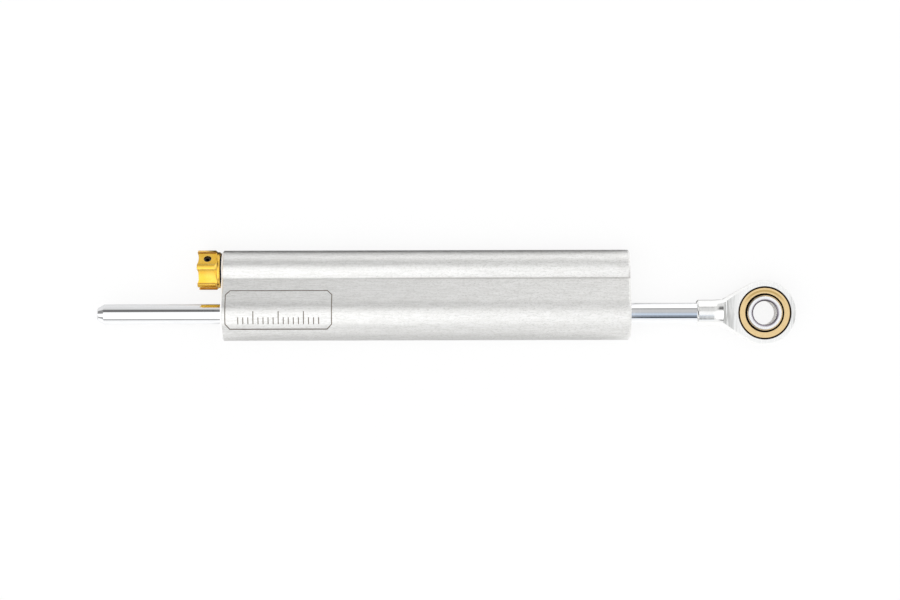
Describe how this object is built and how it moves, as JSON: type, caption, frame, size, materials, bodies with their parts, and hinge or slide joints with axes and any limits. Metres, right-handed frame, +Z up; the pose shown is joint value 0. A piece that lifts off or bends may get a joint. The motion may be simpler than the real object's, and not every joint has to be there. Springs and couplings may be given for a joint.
{
  "type": "steering damper",
  "caption": "Linear through-rod steering damper: lobed aluminium body, chromed rod with a spherical-bearing rod end, and a fluted gold adjuster knob on the valve lobe.",
  "frame": {"origin": "the cylinder axis at the middle of the body's length, which is the centre of the clamp track", "axes": "+X along the rod towards the rod end, +Y towards the adjuster lobe, +Z up, along the bore of the rod end's ball, with the damper lying on its side"},
  "size_m": [0.2793, 0.0385, 0.0214],
  "materials": {
    "body_aluminium": "satin extruded aluminium, faint lengthwise drawing lines",
    "gold_anodised": "satin gold anodising",
    "inner_aluminium": "turned aluminium",
    "chrome_rod": "polished hard chrome",
    "rod_end_steel": "bright plated steel with milled flats",
    "race_bronze": "satin bronze",
    "ball_steel": "polished steel",
    "bush_bronze": "sintered bronze",
    "black_rubber": "moulded nitrile rubber",
    "bump_rubber": "soft polyurethane",
    "black_plastic": "black acetal",
    "ring_plastic": "bronze-filled piston-ring plastic",
    "clip_steel": "phosphated spring steel",
    "spring_steel": "oiled spring steel",
    "black_steel": "blackened steel",
    "detent_steel": "polished ball steel"
  },
  "bodies": {
    "cylinder": {"cylinder_body": "body_aluminium", "seal_head_left": "inner_aluminium", "seal_head_right": "inner_aluminium", "rod_bush_left": "bush_bronze", "rod_bush_right": "bush_bronze", "rod_seal_left": "black_rubber", "rod_seal_right": "black_rubber", "wiper_left": "black_rubber", "wiper_right": "black_rubber", "head_o_ring_left": "black_rubber", "head_o_ring_right": "black_rubber", "head_circlip_left": "clip_steel", "head_circlip_right": "clip_steel", "bump_ring_left": "bump_rubber", "bump_ring_right": "bump_rubber", "bulkhead": "inner_aluminium", "bulkhead_bush": "bush_bronze", "bulkhead_o_ring": "black_rubber", "bulkhead_circlip": "clip_steel", "compensator_spring": "spring_steel", "valve_housing": "inner_aluminium", "valve_o_rings": "black_rubber", "detent_ball": "detent_steel", "detent_spring": "spring_steel", "knob_washer": "black_plastic", "gallery_plug": "inner_aluminium", "plug_o_ring": "black_rubber"},
    "compensator": {"floating_piston": "inner_aluminium", "float_o_ring_outer": "black_rubber", "float_o_ring_inner": "black_rubber"},
    "main_piston": {"piston": "inner_aluminium", "piston_ring": "ring_plastic"},
    "damper_rod": {"rod": "chrome_rod", "rod_end": "rod_end_steel", "bearing_race": "race_bronze", "piston_clips": "clip_steel", "piston_o_ring": "black_rubber"},
    "swivel_ball": {"bearing_ball": "ball_steel"},
    "adjuster": {"adjuster_knob": "gold_anodised", "knob_set_screw": "black_steel", "metering_spindle": "inner_aluminium", "spindle_o_ring": "black_rubber"}
  },
  "joints": [
    {"name": "rod_slide", "type": "slide", "parent": "cylinder", "child": "main_piston", "axis": [1, 0, 0], "range_m": [-0.025, 0.043]},
    {"name": "rod_turn", "type": "hinge", "parent": "main_piston", "child": "damper_rod", "pos_m": [0, 0, 0], "axis": [1, 0, 0], "continuous": true},
    {"name": "ball_swivel", "type": "hinge", "parent": "damper_rod", "child": "swivel_ball", "pos_m": [0.135, 0, 0], "axis": [0, 0, 1], "continuous": true},
    {"name": "adjuster_turn", "type": "hinge", "parent": "cylinder", "child": "adjuster", "pos_m": [0, 0.01761, -0.0026], "axis": [1, 0, 0], "range_deg": [-144, 144]},
    {"name": "compensator_slide", "type": "slide", "parent": "cylinder", "child": "compensator", "axis": [1, 0, 0], "range_m": [-0.004, 0.006], "stiffness_N_per_m": 490, "deforming": ["compensator_spring"]}
  ]
}
